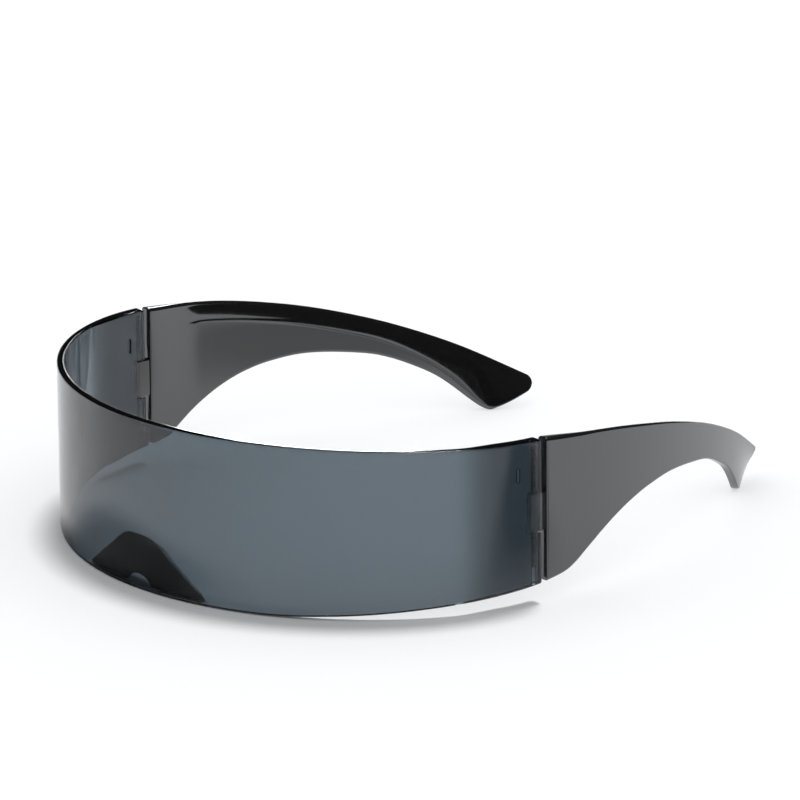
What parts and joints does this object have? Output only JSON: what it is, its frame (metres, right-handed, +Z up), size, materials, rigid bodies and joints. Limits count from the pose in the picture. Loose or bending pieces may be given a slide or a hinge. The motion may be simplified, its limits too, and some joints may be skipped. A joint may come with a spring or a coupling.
{
  "type": "wraparound shield sunglasses",
  "caption": "Wraparound shield sunglasses: a curved smoke mirror visor lens with swept folding temples and a nose saddle behind it.",
  "frame": {"origin": "centre of the footprint at table level: the glasses stand on the bottom of the lens and on both temple tips", "axes": "+Z up, the lens faces -Y, the temples run back along +Y and the wearer's left is +X"},
  "size_m": [0.15, 0.1546, 0.0404],
  "materials": {
    "smoke_lens": "glossy smoke polycarbonate with a light mirror coating, seen through",
    "gloss_grey_plastic": "glossy dark grey moulded plastic",
    "black_saddle_plastic": "satin black moulded plastic",
    "pin_steel": "plain drawn steel wire"
  },
  "bodies": {
    "visor": {"visor_lens": "smoke_lens", "nose_saddle": "black_saddle_plastic", "hinge_pin_left": "pin_steel", "hinge_pin_right": "pin_steel"},
    "left_arm": {"temple_left": "gloss_grey_plastic"},
    "right_arm": {"temple_right": "gloss_grey_plastic"}
  },
  "joints": [
    {"name": "left_fold", "type": "hinge", "parent": "visor", "child": "left_arm", "pos_m": [0.0731, -0.01952, 0.02116], "axis": [0, 0.038, 0.9993], "range_deg": [0, 95]},
    {"name": "right_fold", "type": "hinge", "parent": "visor", "child": "right_arm", "pos_m": [-0.0731, -0.01952, 0.02116], "axis": [0, -0.038, -0.9993], "range_deg": [0, 82]}
  ]
}
